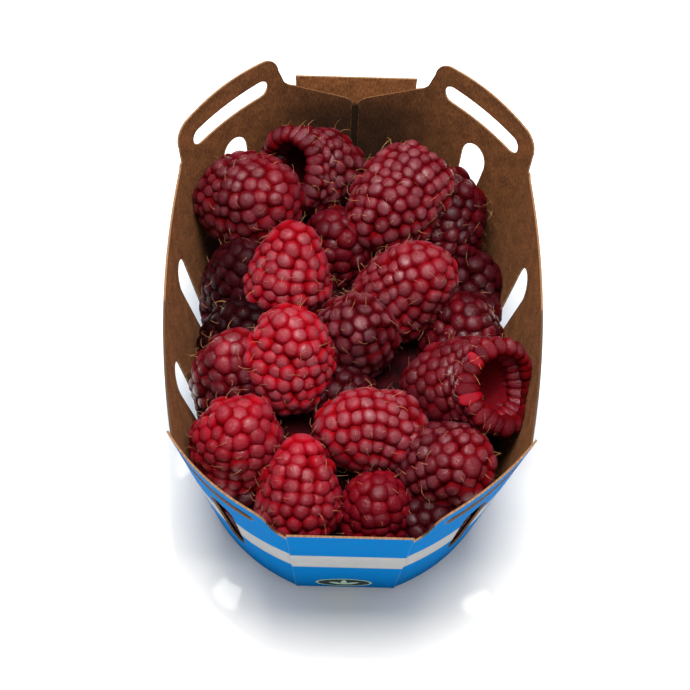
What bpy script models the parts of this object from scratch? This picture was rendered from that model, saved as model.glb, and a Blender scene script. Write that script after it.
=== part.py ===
"""Punnet of raspberries: a folded board carton with handle flaps and windows, filled with berries.

Frame: metres, +Z up, origin at the middle of the base, the carton's length along Y.
The near end, the one the berries slope down to, is at -Y.
"""
import math

import bmesh
import bpy
from mathutils import Matrix, Vector
from mathutils.geometry import delaunay_2d_cdt

MM = 0.001

# Carton, in millimetres
BOARD = 0.65            # thickness of the board
RIM_Z = 45.7            # height of the crease under the handle flaps
SLANT = 47.3            # the same height measured along a wall
END_Z = 46.7            # top of the flat end panels
END_Y_TOP = 64.0        # outer face of an end panel, at its top and at the base
END_Y_BASE = 50.2
GLUE_DEPTH = 0.895      # from there to the middle of a glue flap, which is fused to its back
END_X_TOP = 14.6        # half widths of an end panel
END_X_BASE = 11.5
NOTCH_TOP = (41.25, 38.0)    # where a handle flap ends and a side panel starts, at rim and base
NOTCH_BASE = (29.5, 33.0)
SIDE_BULGE = (1.75, 2.85)    # how far a side panel bows out, at base and rim
CORNER_BULGE = {"far": (1.9, 2.2), "near_left": (1.9, 3.4), "near_right": (1.9, 2.5)}
FOOT = 0.15             # a wall's lower edge stays this far above its crease with the base

# Lengths of the panels along the rim, in the flat board
L_GLUE, L_CORNER, L_SIDE = 14.6, 37.6, 76.3
STRIP = (L_GLUE, L_CORNER, L_SIDE, L_CORNER, L_GLUE)

# Glue flap: its top edge at seam and corner, below the crease of the handle flaps
GLUE_SEAM, GLUE_CORNER = -5.4, -1.8
GLUE_STOPS = (0.06, 0.12, 0.2, 0.5, 0.8, 1.0)

# Handle flap above its crease, along the board, on the part of a corner panel that it takes
FLAP_H, FLAP_CROWN = 10.0, 0.5
FLAP_FROM, FLAP_TO, FLAP_LEAN = 0.082, 0.972, 1.4
FLAP_R_END, FLAP_R_SIDE = 4.6, 5.2
SLOT_LOW, SLOT_HIGH = 0.1, 4.75
SLOT_FROM, SLOT_TO = 0.205, 0.85

# Windows: heights from the crease, widths at the arched top and at the foot
WINDOW_TOP, WINDOW_BOTTOM = -8.4, -35.5
CORNER_WINDOW_TOP = -6.6
WINDOW_W, CORNER_WINDOW_W = (8.8, 6.4), (8.2, 6.0)
ARCH_H, ROUND_FOOT_H = 4.6, 4.0
SIDE_WINDOW = 23.4      # a side window's middle, measured from its notch
CORNER_WINDOW = 0.54    # a corner window's middle, as a share of its panel

# Heap: the core's heights and its insets from the walls, and the gap that berries keep to the board
CORE = ((1.0, 1.6), (14.0, 4.5), (25.0, 8.5), (30.0, 17.0))
ROOM_HEIGHTS = (1.0, 24.0, 45.7, 56.0)
BERRY_GAP = 0.35

# Berries of the top layer: middle (mm), direction of the tip, length, width, hollow or not
BERRIES = {
    "a": ((-24.0, 34.8, 35.6), (0.65, -0.45, 0.60), 25.5, 23.0, False),
    "b": ((-8.6, 45.0, 34.2), (0.70, 0.36, -0.58), 22.0, 20.8, True),
    "c": ((-14.9, 15.1, 36.6), (0.15, 0.50, 0.85), 24.0, 21.8, False),
    "d": ((-25.6, 17.6, 28.0), (0.10, 0.30, 0.95), 22.0, 18.8, False),
    "e": ((10.2, 34.8, 35.8), (-0.52, -0.80, 0.05), 28.0, 23.2, False),
    "f": ((22.0, 36.2, 28.6), (0.10, 0.85, 0.45), 24.0, 20.4, False),
    "g": ((13.8, 11.2, 36.4), (0.66, 0.25, 0.70), 24.5, 21.6, False),
    "h": ((-14.9, -9.5, 37.0), (0.04, 0.46, 0.88), 24.5, 22.4, False),
    "i": ((-27.8, -11.4, 31.4), (0.00, 0.30, 0.95), 22.5, 20.0, False),
    "k": ((1.0, -0.8, 33.0), (0.10, -0.30, 0.95), 24.0, 20.6, False),
    "m": ((25.8, 2.0, 27.0), (0.10, 0.50, 0.85), 23.0, 20.6, False),
    "n": ((25.6, -17.4, 38.2), (-0.87, 0.22, -0.43), 29.0, 22.4, True),
    "o": ((-26.3, -32.4, 34.4), (0.02, 0.12, 0.98), 24.0, 22.4, False),
    "p": ((-11.6, -43.6, 34.4), (0.05, 0.70, 0.70), 24.2, 20.4, False),
    "q": ((4.8, -27.9, 33.6), (-0.90, -0.10, 0.40), 27.0, 20.8, False),
    "r": ((23.0, -36.4, 33.2), (0.45, -0.45, 0.77), 23.0, 22.0, False),
    "s": ((6.2, -46.0, 28.4), (0.05, 0.35, 0.93), 20.0, 18.0, False),
    "u": ((-3.0, 26.8, 28.0), (-0.20, 0.20, 0.95), 22.0, 19.4, False),
    "w": ((-25.8, 1.6, 26.4), (0.30, 0.40, 0.86), 21.0, 19.4, False),
}
# Berries below them, which show through the gaps and the windows
LOW = {
    "t": ((18.0, -46.0, 23.0), (0.30, -0.30, 0.90)),
    "v": ((-22.6, -39.0, 20.6), (-0.40, -0.30, 0.86)),
    "la": ((-26.0, 14.6, 16.0), (-0.80, 0.20, 0.55)),
    "lb": ((-26.0, -14.6, 16.4), (-0.85, -0.10, 0.50)),
    "lc": ((26.0, 14.6, 16.0), (0.80, 0.30, 0.50)),
    "ld": ((26.0, -14.6, 16.4), (0.85, -0.20, 0.50)),
    "le": ((-18.4, 38.6, 18.0), (-0.60, 0.60, 0.50)),
    "lf": ((18.4, 38.6, 18.0), (0.55, 0.65, 0.50)),
    "lg": ((20.0, -36.6, 15.6), (0.60, -0.60, 0.50)),
    "lh": ((27.4, 24.0, 25.0), (0.60, 0.10, 0.80)),
    "li": ((-2.4, -15.0, 25.0), (0.20, -0.20, 0.95)),
}
LOW_LEN, LOW_W = 22.0, 20.4
RINGS, SIDES = 7, 11    # facets of one berry
WIDEST, TAPER, BLUNT = 0.42, 0.60, 2.3    # a berry's profile: where it is widest and how it closes in
# The empty cup of a hollow berry: radius as a share of the berry's, and depth from the rim
CUP = ((0.56, 0.5), (0.46, 6.0), (0.30, 12.5))
CUP_DEPTH, DISH = 13.5, 0.6


def bowed(p0, p1, bulge, t):
    """Point at t on a shallow arc from p0 to p1 that bows outward by bulge."""
    a, b = Vector(p0), Vector(p1)
    d = (b - a).normalized()
    return a.lerp(b, t) + Vector((-d.y, d.x)) * (bulge * 4 * t * (1 - t))


def wall_point(side, s, d):
    """Middle of the board, from a place in the flat blank: s along the rim, d above the crease."""
    h = 1 + d / SLANT
    glue_top, glue_base = END_Y_TOP - GLUE_DEPTH, END_Y_BASE - GLUE_DEPTH
    k = 0
    while k < 4 and s > STRIP[k]:
        s -= STRIP[k]
        k += 1
    t = s / STRIP[k]
    far = k < 2 or (k == 2 and t < 0.5)
    if k > 2:
        k, t = 4 - k, 1 - t
    if k == 0:
        top = Vector((END_X_TOP * t, glue_top))
        low = Vector((END_X_BASE * t, glue_base))
    elif k == 1:
        corner = "far" if far else ("near_left" if side < 0 else "near_right")
        b0, b1 = CORNER_BULGE[corner]
        top = bowed((END_X_TOP, glue_top), NOTCH_TOP, b1, t)
        low = bowed((END_X_BASE, glue_base), NOTCH_BASE, b0, t)
    else:
        end_top, end_low = Vector(NOTCH_TOP), Vector(NOTCH_BASE)
        top = bowed(end_top, (end_top.x, -end_top.y), SIDE_BULGE[1], t)
        low = bowed(end_low, (end_low.x, -end_low.y), SIDE_BULGE[0], t)
        far = True
    p = low.lerp(top, h)
    return Vector((side * p.x, p.y if far else -p.y, RIM_Z * h))


def glue_edge(t):
    """Top edge of a glue flap, from the seam (0) to the corner (1)."""
    d = GLUE_SEAM + (GLUE_CORNER - GLUE_SEAM) * t
    rounded, drop = 0.2, 3.0
    if t < rounded:
        d -= drop * (1 - math.sqrt(1 - (1 - t / rounded) ** 2))
    return d


def half_outline():
    """Upper edge of one end of a wall strip in the flat board, from the seam to past the notch."""
    pts = [(L_GLUE * t, glue_edge(t)) for t in GLUE_STOPS]
    pts.append((L_GLUE + 0.05 * L_CORNER, -0.5))
    # side of the handle flap nearest the end, then its top with two rounded corners
    start, stop = L_GLUE + FLAP_FROM * L_CORNER, L_GLUE + FLAP_TO * L_CORNER
    pts.append((start, 0.9))
    for i in range(6):
        a = math.radians(15 * i)
        pts.append((start + FLAP_LEAN + FLAP_R_END * (1 - math.cos(a)),
                    FLAP_H - FLAP_R_END * (1 - math.sin(a))))
    top_from, top_to = start + FLAP_LEAN + FLAP_R_END, stop - FLAP_R_SIDE
    for i in range(1, 6):
        f = i / 6
        pts.append((top_from + (top_to - top_from) * f, FLAP_H + FLAP_CROWN * math.sin(math.pi * f)))
    for i in range(6):
        a = math.radians(18 * i)
        pts.append((stop - FLAP_R_SIDE * (1 - math.sin(a)), FLAP_H - FLAP_R_SIDE * (1 - math.cos(a))))
    # the foot of the flap, and the small tip that the side panel's rim ends in
    pts.append((L_GLUE + L_CORNER - 0.3, 0.1))
    pts.append((L_GLUE + L_CORNER + 0.4, 0.5))
    pts.append((L_GLUE + L_CORNER + 2.2, 0.0))
    return pts


def round_hole(middle, widths, top, bottom, steps=5):
    """Window outline: an arched top, straight sides that close in, and a rounded foot."""
    pts = []
    for i in range(steps + 1):
        a = math.pi * i / steps
        pts.append((middle + widths[0] / 2 * math.cos(a), top + ARCH_H * (math.sin(a) - 1)))
    for i in range(steps + 1):
        a = math.pi * (1 + i / steps)
        pts.append((middle + widths[1] / 2 * math.cos(a), bottom + ROUND_FOOT_H * (1 + math.sin(a))))
    return pts


def slot_hole(x0, x1, low, high, steps=4):
    """Finger slot in a handle flap, with round ends."""
    r, c = (high - low) / 2, (high + low) / 2
    pts = [(x0 + (x1 - x0) * i / 5, low) for i in range(1, 5)]
    pts += [(x1 - r + r * math.sin(math.pi * i / steps), c - r * math.cos(math.pi * i / steps))
            for i in range(steps + 1)]
    pts += [(x1 + (x0 - x1) * i / 5, high) for i in range(1, 5)]
    pts += [(x0 + r - r * math.sin(math.pi * i / steps), c + r * math.cos(math.pi * i / steps))
            for i in range(steps + 1)]
    return pts


def inside(p, loop):
    """True if the flat point p lies inside the closed loop."""
    hit = False
    for (x0, y0), (x1, y1) in zip(loop, loop[1:] + loop[:1]):
        if (y0 > p[1]) != (y1 > p[1]) and p[0] < x0 + (p[1] - y0) * (x1 - x0) / (y1 - y0):
            hit = not hit
    return hit


def link(name, bm):
    """New object in the scene from a bmesh."""
    mesh = bpy.data.meshes.new(name)
    bm.to_mesh(mesh)
    bm.free()
    obj = bpy.data.objects.new(name, mesh)
    bpy.context.scene.collection.objects.link(obj)
    return obj


def colour(obj, name, rgb, roughness):
    """Gives the object one plain material."""
    mat = bpy.data.materials.new(name)
    mat.use_nodes = True
    shader = mat.node_tree.nodes["Principled BSDF"]
    shader.inputs["Base Color"].default_value = (*rgb, 1)
    shader.inputs["Roughness"].default_value = roughness
    obj.data.materials.clear()
    obj.data.materials.append(mat)


def apply_modifiers(obj):
    """Replace the object's mesh by what its modifiers make."""
    graph = bpy.context.evaluated_depsgraph_get()
    mesh = bpy.data.meshes.new_from_object(obj.evaluated_get(graph))
    obj.modifiers.clear()
    obj.data = mesh


def fuse(body, parts):
    """Joins the parts to the body as one solid and removes them."""
    group = bpy.data.collections.new("parts")
    bpy.context.scene.collection.children.link(group)
    for obj in parts:
        group.objects.link(obj)
    join = body.modifiers.new("join", "BOOLEAN")
    join.operation, join.operand_type, join.collection = "UNION", "COLLECTION", group
    apply_modifiers(body)
    for obj in parts:
        bpy.data.objects.remove(obj)
    bpy.data.collections.remove(group)


def keep_largest(obj):
    """Fill sealed hollows and drop loose scraps: only the largest closed skin stays."""
    bm = bmesh.new()
    bm.from_mesh(obj.data)
    left, skins = set(bm.verts), []
    while left:
        skin, todo = set(), [left.pop()]
        while todo:
            v = todo.pop()
            skin.add(v)
            for e in v.link_edges:
                w = e.other_vert(v)
                if w in left:
                    left.remove(w)
                    todo.append(w)
        skins.append(skin)
    largest = max(skins, key=lambda k: max(v.co.z for v in k) - min(v.co.z for v in k))
    bmesh.ops.delete(bm, geom=[v for v in bm.verts if v not in largest], context="VERTS")
    bm.to_mesh(obj.data)
    bm.free()


def wall_sheet(side):
    """One long wall with its handle flaps and glue flaps: a sheet cut flat, then bent round."""
    total = sum(STRIP)
    near = half_outline()
    upper = near + [(total - x, y) for x, y in reversed(near)]
    base = FOOT - SLANT
    outer = [(near[0][0], base)] + upper + [(total - near[0][0], base)]
    holes = []
    for start, way in ((L_GLUE, 1), (total - L_GLUE, -1)):
        ends = sorted(start + way * share * L_CORNER for share in (SLOT_FROM, SLOT_TO))
        holes.append(slot_hole(*ends, SLOT_LOW, SLOT_HIGH))
        holes.append(round_hole(start + way * CORNER_WINDOW * L_CORNER, CORNER_WINDOW_W,
                                CORNER_WINDOW_TOP, WINDOW_BOTTOM))
        holes.append(round_hole(start + way * (L_CORNER + SIDE_WINDOW), WINDOW_W,
                                WINDOW_TOP, WINDOW_BOTTOM))
    pts, edges = [], []
    for loop in [outer] + holes:
        n = len(pts)
        pts += [Vector(p) for p in loop]
        edges += [(n + i, n + (i + 1) % len(loop)) for i in range(len(loop))]
    # lines down the board where it bends
    columns, s = [], 0.0
    for length, parts in zip(STRIP, (2, 5, 8, 5, 2)):
        columns += [s + length * i / parts for i in range(parts)]
        s += length
    for c in columns[1:]:
        n = len(pts)
        pts += [Vector((c, base - 1)), Vector((c, FLAP_H + 2))]
        edges.append((n, n + 1))
    verts, _, faces, *_ = delaunay_2d_cdt(pts, edges, [], 0, 1e-5)
    bm = bmesh.new()
    made = [bm.verts.new(wall_point(side, v.x, v.y) * MM) for v in verts]
    for f in faces:
        c = sum((verts[i] for i in f), Vector((0, 0))) / 3
        if inside(c, outer) and not any(inside(c, hole) for hole in holes):
            bm.faces.new([made[i] for i in (f if side > 0 else reversed(f))])
    bmesh.ops.delete(bm, geom=[v for v in bm.verts if not v.link_faces], context="VERTS")
    bmesh.ops.recalc_face_normals(bm, faces=bm.faces[:])
    obj = link("wall_left" if side < 0 else "wall_right", bm)
    solid = obj.modifiers.new("board", "SOLIDIFY")
    solid.thickness = BOARD * MM
    solid.offset = 0.0
    apply_modifiers(obj)
    return obj


def slab(name, loops):
    """Closed solid through a stack of loops with equal numbers of points."""
    bm = bmesh.new()
    rings = [[bm.verts.new(Vector(p) * MM) for p in loop] for loop in loops]
    for low, high in zip(rings, rings[1:]):
        for i in range(len(low)):
            j = (i + 1) % len(low)
            bm.faces.new((low[i], low[j], high[j], high[i]))
    bm.faces.new(list(reversed(rings[0])))
    bm.faces.new(rings[-1])
    bmesh.ops.recalc_face_normals(bm, faces=bm.faces[:])
    bmesh.ops.triangulate(bm, faces=[f for f in bm.faces if len(f.verts) > 4])
    return link(name, bm)


def plan_loop(z, inset, per_corner=5, per_side=8):
    """Plan outline inside the walls at height z, moved in by inset from the middle of the board."""
    d = (z / RIM_Z - 1) * SLANT
    stops, s = [], L_GLUE
    for length, parts in ((L_CORNER, per_corner), (L_SIDE, per_side), (L_CORNER, per_corner)):
        stops += [s + length * i / parts for i in range(parts)]
        s += length
    stops.append(s)
    right = [wall_point(1, s, d) for s in stops]
    left = [wall_point(-1, s, d) for s in stops]
    loop = right + left[::-1]
    out = []
    for a, b, c in zip(loop[-1:] + loop[:-1], loop, loop[1:] + loop[:1]):
        n = ((b - a).xy.normalized() + (c - b).xy.normalized()).normalized()
        out.append((b.x + n.y * inset, b.y - n.x * inset, z))
    return out


def end_panel(sign):
    """Flat end panel, glued outside the flaps."""
    slope = math.atan2(END_Y_TOP - END_Y_BASE, END_Z)
    inner = Vector((0, -math.cos(slope), math.sin(slope))) * BOARD
    outer = [Vector((-END_X_BASE, END_Y_BASE, 0)), Vector((END_X_BASE, END_Y_BASE, 0)),
             Vector((END_X_TOP, END_Y_TOP, END_Z)), Vector((-END_X_TOP, END_Y_TOP, END_Z))]
    back = [v + inner for v in outer]
    for v in back[:2]:
        v.z = 0.0
    return slab("end", [[(v.x, sign * v.y, v.z) for v in loop] for loop in (outer, back)])


def carton():
    """The folded carton as one solid: two bent walls, two end panels and the base."""
    body = wall_sheet(-1)
    base = slab("base", [plan_loop(0.0, 0.05), plan_loop(BOARD, 0.0)])
    fuse(body, [wall_sheet(1), end_panel(1), end_panel(-1), base])
    body.name = "carton"
    colour(body, "carton_board", (0.003, 0.22, 0.68), 0.55)


def berry(name, centre, tip, length, width, hollow):
    """A raspberry with few facets: a rounded cone, dished where the stalk sat."""
    turn = Vector((0, 0, 1)).rotation_difference(Vector(tip).normalized()).to_matrix().to_4x4()
    place = Matrix.Translation(Vector(centre) * MM) @ turn
    bm = bmesh.new()
    rings = []
    for k in range(RINGS):
        t = (k + 0.35) / (RINGS - 0.2)
        z = length * (t - 0.5)
        r = width / 2 * math.sqrt(max(0.0, 1 - abs((t - WIDEST) / TAPER) ** BLUNT))
        rings.append([bm.verts.new(place @ (Vector((
            r * math.cos(2 * math.pi * (i + 0.5 * (k % 2)) / SIDES),
            r * math.sin(2 * math.pi * (i + 0.5 * (k % 2)) / SIDES), z)) * MM))
            for i in range(SIDES)])
    for k in range(RINGS - 1):
        lo, hi = rings[k], rings[k + 1]
        for i in range(SIDES):
            j = (i + 1) % SIDES
            if k % 2 == 0:
                bm.faces.new((lo[i], lo[j], hi[i]))
                bm.faces.new((lo[j], hi[j], hi[i]))
            else:
                bm.faces.new((lo[i], lo[j], hi[j]))
                bm.faces.new((lo[i], hi[j], hi[i]))
    top = bm.verts.new(place @ (Vector((0, 0, length / 2)) * MM))
    for i in range(SIDES):
        bm.faces.new((rings[-1][i], rings[-1][(i + 1) % SIDES], top))
    foot = rings[0]
    if hollow:
        for r, depth in CUP:
            cup = [bm.verts.new(place @ (Vector((
                width / 2 * r * math.cos(2 * math.pi * i / SIDES),
                width / 2 * r * math.sin(2 * math.pi * i / SIDES), -length / 2 + depth)) * MM))
                for i in range(SIDES)]
            for i in range(SIDES):
                j = (i + 1) % SIDES
                bm.faces.new((foot[j], foot[i], cup[i], cup[j]))
            foot = cup
    low = bm.verts.new(place @ (Vector((0, 0, -length / 2 + (CUP_DEPTH if hollow else DISH))) * MM))
    for i in range(SIDES):
        bm.faces.new((foot[(i + 1) % SIDES], foot[i], low))
    bmesh.ops.recalc_face_normals(bm, faces=bm.faces[:])
    bmesh.ops.triangulate(bm, faces=[f for f in bm.faces if len(f.verts) > 3])
    return link(name, bm)


def heap():
    """All the berries as one solid: a core with the berries that show fused on."""
    core = slab("raspberries", [plan_loop(z, inset, 3, 3) for z, inset in CORE])
    parts = [berry("berry_" + k, *v) for k, v in BERRIES.items()]
    parts += [berry("berry_" + k, *v, LOW_LEN, LOW_W, False) for k, v in LOW.items()]
    fuse(core, parts)
    # pressed flat where they meet the board, a hair clear of it
    room = slab("room", [plan_loop(z, BOARD / 2 + BERRY_GAP) for z in ROOM_HEIGHTS])
    trim = core.modifiers.new("trim", "BOOLEAN")
    trim.operation, trim.object = "INTERSECT", room
    apply_modifiers(core)
    keep_largest(core)
    bpy.data.objects.remove(room)
    colour(core, "raspberry_flesh", (0.36, 0.012, 0.03), 0.45)


for old in list(bpy.data.objects):
    bpy.data.objects.remove(old)
for old in list(bpy.data.collections):
    bpy.data.collections.remove(old)
carton()
heap()
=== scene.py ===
"""Dresses the punnet of raspberries: a folded board carton, berries with drupelets and hairs, and a stage."""
import math
import random

import bmesh
import bpy
from mathutils import Matrix, Vector, noise
from mathutils.bvhtree import BVHTree


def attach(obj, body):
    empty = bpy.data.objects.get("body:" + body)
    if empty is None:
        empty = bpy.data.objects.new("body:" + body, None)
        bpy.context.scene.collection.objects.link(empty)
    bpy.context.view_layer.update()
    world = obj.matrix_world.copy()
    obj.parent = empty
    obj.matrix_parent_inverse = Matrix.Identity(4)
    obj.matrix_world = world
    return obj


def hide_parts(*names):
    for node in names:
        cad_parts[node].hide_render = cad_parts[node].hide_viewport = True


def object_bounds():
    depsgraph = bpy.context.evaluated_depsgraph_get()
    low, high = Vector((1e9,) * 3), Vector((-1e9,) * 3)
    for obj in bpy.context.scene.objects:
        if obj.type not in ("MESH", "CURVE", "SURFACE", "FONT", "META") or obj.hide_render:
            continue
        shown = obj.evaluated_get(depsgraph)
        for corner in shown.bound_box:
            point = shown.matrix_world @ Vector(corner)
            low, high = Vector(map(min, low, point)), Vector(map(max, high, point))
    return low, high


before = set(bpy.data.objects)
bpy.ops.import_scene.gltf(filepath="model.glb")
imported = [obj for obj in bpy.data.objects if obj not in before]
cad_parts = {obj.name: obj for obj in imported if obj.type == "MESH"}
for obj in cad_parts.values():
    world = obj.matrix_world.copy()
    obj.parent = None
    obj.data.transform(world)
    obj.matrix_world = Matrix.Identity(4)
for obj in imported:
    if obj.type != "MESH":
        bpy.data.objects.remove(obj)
CAD_BOX = [list(corner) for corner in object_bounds()]
LENGTH = CAD_BOX[1][1] - CAD_BOX[0][1]

bl_info = {
    "name": "Raspberry Punnet",
    "version": (1, 0, 0),
    "blender": (4, 5, 0),
    "location": "View3D > Sidebar > Punnet",
    "description": "Builds a folded board punnet with its raspberries",
    "category": "Add Mesh",
}

MM = 0.001

# Form of the carton, in millimetres, the same as the solids'
RIM_Z, SLANT, FOOT = 45.7, 47.3, 0.15
END_Z, END_Y_TOP, END_Y_BASE = 46.7, LENGTH / MM / 2, 50.2
END_X_TOP, END_X_BASE = 14.6, 11.5
NOTCH_TOP, NOTCH_BASE = (41.25, 38.0), (29.5, 33.0)
SIDE_BULGE = (1.75, 2.85)
CORNER_BULGE = {"far": (1.9, 2.2), "near_left": (1.9, 3.4), "near_right": (1.9, 2.5)}
L_GLUE, L_CORNER, L_SIDE = 14.6, 37.6, 76.3
STRIP = (L_GLUE, L_CORNER, L_SIDE, L_CORNER, L_GLUE)
STRIP_LENGTH = sum(STRIP)
# Top edge of a glue flap: its height at the seam, its rise to the corner, and the rounding at the seam
GLUE_SEAM, GLUE_RISE, GLUE_DIP, GLUE_ROUND = -5.4, 3.6, 3.0, 0.2
GLUE_STOPS = (0.06, 0.08, 0.12, 0.16, 0.2, 0.5, 0.8, 1.0)
# Handle flap: start and end as shares of its panel, lean of its side, corner radii and crown
FLAP_FROM, FLAP_TO, FLAP_LEAN = 0.082, 0.972, 1.4
FLAP_R_END, FLAP_R_SIDE, FLAP_CROWN = 4.6, 5.2, 0.5
# Its slot: lower and upper edge, and start and end as shares of the panel
SLOT_LOW, SLOT_HIGH, SLOT_FROM, SLOT_TO = 0.1, 4.75, 0.205, 0.85
# Windows: heights, widths at top and foot, rise of the arch and of the rounded foot
WINDOW_TOP, WINDOW_BOTTOM, CORNER_WINDOW_TOP = -8.4, -35.5, -6.6
WINDOW_WIDTHS, CORNER_WINDOW_WIDTHS = (8.8, 6.4), (8.2, 6.0)
ARCH_H, ROUND_FOOT_H = 4.6, 4.0
# Middle of a side window from its notch, and of a corner window as a share of its panel
SIDE_WINDOW, CORNER_WINDOW = 23.4, 0.54
# Bend between the base and an end panel, and how far short of its full height the panel is cut
BEND_RADIUS, END_TRIM = 0.8, 0.55
# White stripe of the print, measured down the wall from the crease, and its top's height on the end panels
STRIPE_TOP, STRIPE_BOTTOM, END_STRIPE_Z = -15.8, -26.5, 29.0
# Millimetres per unit of the board's UV map. The base and end panels lie to the side of the walls in it,
# past a gap that the finishes use to tell them apart
UV_MM, TRAY_OFFSET, TRAY_GAP = 100, 300.0, (2.2, 2.4)

# Seed of the smooth random field that makes the berries uneven, so that each run gives the same ones
NOISE_SEED = 7

# Berries of the top layer: middle (mm), direction of the tip, length, width, ripeness of the flesh (0 dark
# to 1 scarlet; below 0 it is painted shade that darkens one in the shade of its neighbours), how much
# brighter the tip is, how conical the berry is, how dusty, which also sets the painted sheen on its
# drupelets' tops
BERRIES = {
    "a": ((-24.0, 34.8, 35.6), (0.65, -0.45, 0.60), 25.5, 23.0, 0.18, 0.25, 0.3, 0.58),
    "c": ((-14.9, 15.1, 36.6), (0.15, 0.50, 0.85), 24.0, 21.8, 0.74, 0.0, 2.0, 1.00),
    "d": ((-25.6, 17.6, 28.0), (0.10, 0.30, 0.95), 22.0, 18.8, -0.30, 0.0, 0.3, 0.10),
    "e": ((10.2, 34.8, 35.8), (-0.52, -0.80, 0.05), 28.0, 23.2, 0.31, 0.0, 0.2, 1.00),
    "f": ((22.0, 36.2, 28.6), (0.10, 0.85, 0.45), 24.0, 20.4, 0.06, 0.0, 0.3, 0.00),
    "g": ((13.8, 11.2, 36.4), (0.66, 0.25, 0.70), 24.5, 21.6, 0.33, 0.30, 0.8, 0.85),
    "h": ((-14.9, -9.5, 37.0), (0.04, 0.46, 0.88), 24.5, 22.4, 0.90, 0.10, 0.7, 1.15),
    "i": ((-27.8, -11.4, 31.4), (0.00, 0.30, 0.95), 22.5, 20.0, 0.10, 0.40, 0.6, 0.40),
    "k": ((1.0, -0.8, 33.0), (0.10, -0.30, 0.95), 24.0, 20.6, 0.14, 0.0, 0.4, 1.15),
    "m": ((25.8, 2.0, 27.0), (0.10, 0.50, 0.85), 23.0, 20.6, 0.13, 0.0, 0.3, 0.05),
    "o": ((-26.3, -32.4, 34.4), (0.02, 0.12, 0.98), 24.0, 22.4, 0.48, 0.40, 0.3, 0.46),
    "p": ((-11.6, -43.6, 34.4), (0.05, 0.70, 0.70), 24.2, 20.4, 0.55, 0.50, 1.4, 0.45),
    "q": ((4.8, -27.9, 33.6), (-0.90, -0.10, 0.40), 27.0, 20.8, 0.51, 0.25, 0.2, 1.38),
    "r": ((23.0, -36.4, 33.2), (0.45, -0.45, 0.77), 23.0, 22.0, 0.13, 0.30, 0.4, 0.76),
    "s": ((6.2, -46.0, 28.4), (0.05, 0.35, 0.93), 20.0, 18.0, 0.31, 0.10, 0.2, 0.00),
    "u": ((-3.0, 26.8, 28.0), (-0.20, 0.20, 0.95), 22.0, 19.4, 0.17, 0.0, 0.2, 0.05),
    "w": ((-25.8, 1.6, 26.4), (0.30, 0.40, 0.86), 21.0, 19.4, -0.52, 0.0, 0.2, 0.00),
}
# Hollow ones add the direction that the mouth is cut open to, and how slanting the cut is
HOLLOW = {
    "b": ((-8.6, 45.0, 34.2), (0.78, 0.30, -0.50), 22.0, 20.8, 0.17, 0.0, 0.2, 0.85,
          (0.0, -0.5, 0.85), 0.25),
    "n": ((25.6, -17.4, 38.2), (-0.87, 0.22, -0.43), 29.0, 22.4, 0.20, 0.0, 0.2, 0.26,
          (0.1, -0.5, 0.85), 0.60),
}
# Berries below them, seen through the gaps and the windows: middle and direction of the tip. All share one
# length, width, ripeness (below 0 it is painted shade), tip, cone and dust with painted sheen
LOW = {
    "t": ((18.0, -46.0, 23.0), (0.30, -0.30, 0.90)),
    "v": ((-22.6, -39.0, 20.6), (-0.40, -0.30, 0.86)),
    "la": ((-26.0, 14.6, 16.0), (-0.80, 0.20, 0.55)),
    "lb": ((-26.0, -14.6, 16.4), (-0.85, -0.10, 0.50)),
    "lc": ((26.0, 14.6, 16.0), (0.80, 0.30, 0.50)),
    "ld": ((26.0, -14.6, 16.4), (0.85, -0.20, 0.50)),
    "le": ((-18.4, 38.6, 18.0), (-0.60, 0.60, 0.50)),
    "lf": ((18.4, 38.6, 18.0), (0.55, 0.65, 0.50)),
    "lg": ((20.0, -36.6, 15.6), (0.60, -0.60, 0.50)),
    "lh": ((26.6, 22.0, 17.0), (0.60, 0.10, 0.80)),
    "li": ((-2.4, -15.0, 25.0), (0.20, -0.20, 0.95)),
}
LOW_SHAPE = (22.0, 20.4, -0.12, 0.05, 0.2, 0.15)

# A berry's profile: where it is widest, how it closes in, how blunt it is, what a cone takes off its tip,
# and how much of its narrowing a hollow one keeps towards the mouth
WIDEST, TAPER, BLUNT, CONE_TAPER, MOUTH_TAPER = 0.42, 0.60, 2.3, 0.24, 0.14
# Drupelets: ring to ring, spread and height of the dome as shares of the pitch, flatness of the dome
ROW_PITCH, BEAD_SPREAD, DOME_HEIGHT, DOME_POWER = 0.86, 0.69, 0.54, 0.74
# Rings of ribs round a hollow berry's rim and down its cup: in from the rim and up into the cup (mm),
# tilt from outward (radians), length as a share of a row, height as a share of a drupelet's
CUP_RINGS = ((0.3, 0.0, 1.1, 1.25, 0.98), (1.3, 1.5, 2.5, 1.4, 0.38), (1.6, 4.3, 2.95, 1.8, 0.30),
             (2.2, 8.3, 3.0, 1.9, 0.28))
# Their pitch as a share of the drupelets', and the height below which a rib lies in the cup
RIB_PITCH, CUP_RIB = 0.76, 0.4
# How much brighter some drupelets of the rim and the inside of the cup are
RIM_GLOW = {"b": (0.10, -0.20), "n": (0.50, 0.14)}
# Body under the drupelets, as a share of the berry, and its cup: in from the rim and up (mm), then its end
BODY_SHARE, CUP_LINE, CUP_END = 0.93, ((1.4, 0.6), (2.2, 5.0), (3.4, 9.5)), 12.5
# Waviness that makes the berries uneven: its frequency (per mm) and its reach (mm)
WAVE, WAVE_REACH = 0.11, 0.75
# How far the walls are searched for, and the room that berries and hairs keep from them (mm)
SEARCH, BERRY_ROOM, HAIR_ROOM = 8.0, 0.62, 0.5
# Hairs: radius (mm) and joints
HAIR_RADIUS, HAIR_STEPS = 0.045, 5

# The photograph's camera, in degrees, millimetres and pixels of its frame
FRAME_PX = 690
CAM_ELEVATION, CAM_YAW, CAM_ROLL = 57.639, -2.113, 3.277
CAM_DISTANCE, CAM_AIM_Z, CAM_FOCAL_PX = 1247.7, 30.0, 5288.5
CAM_AXIS_PX = (351.286, 339.394)


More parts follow.
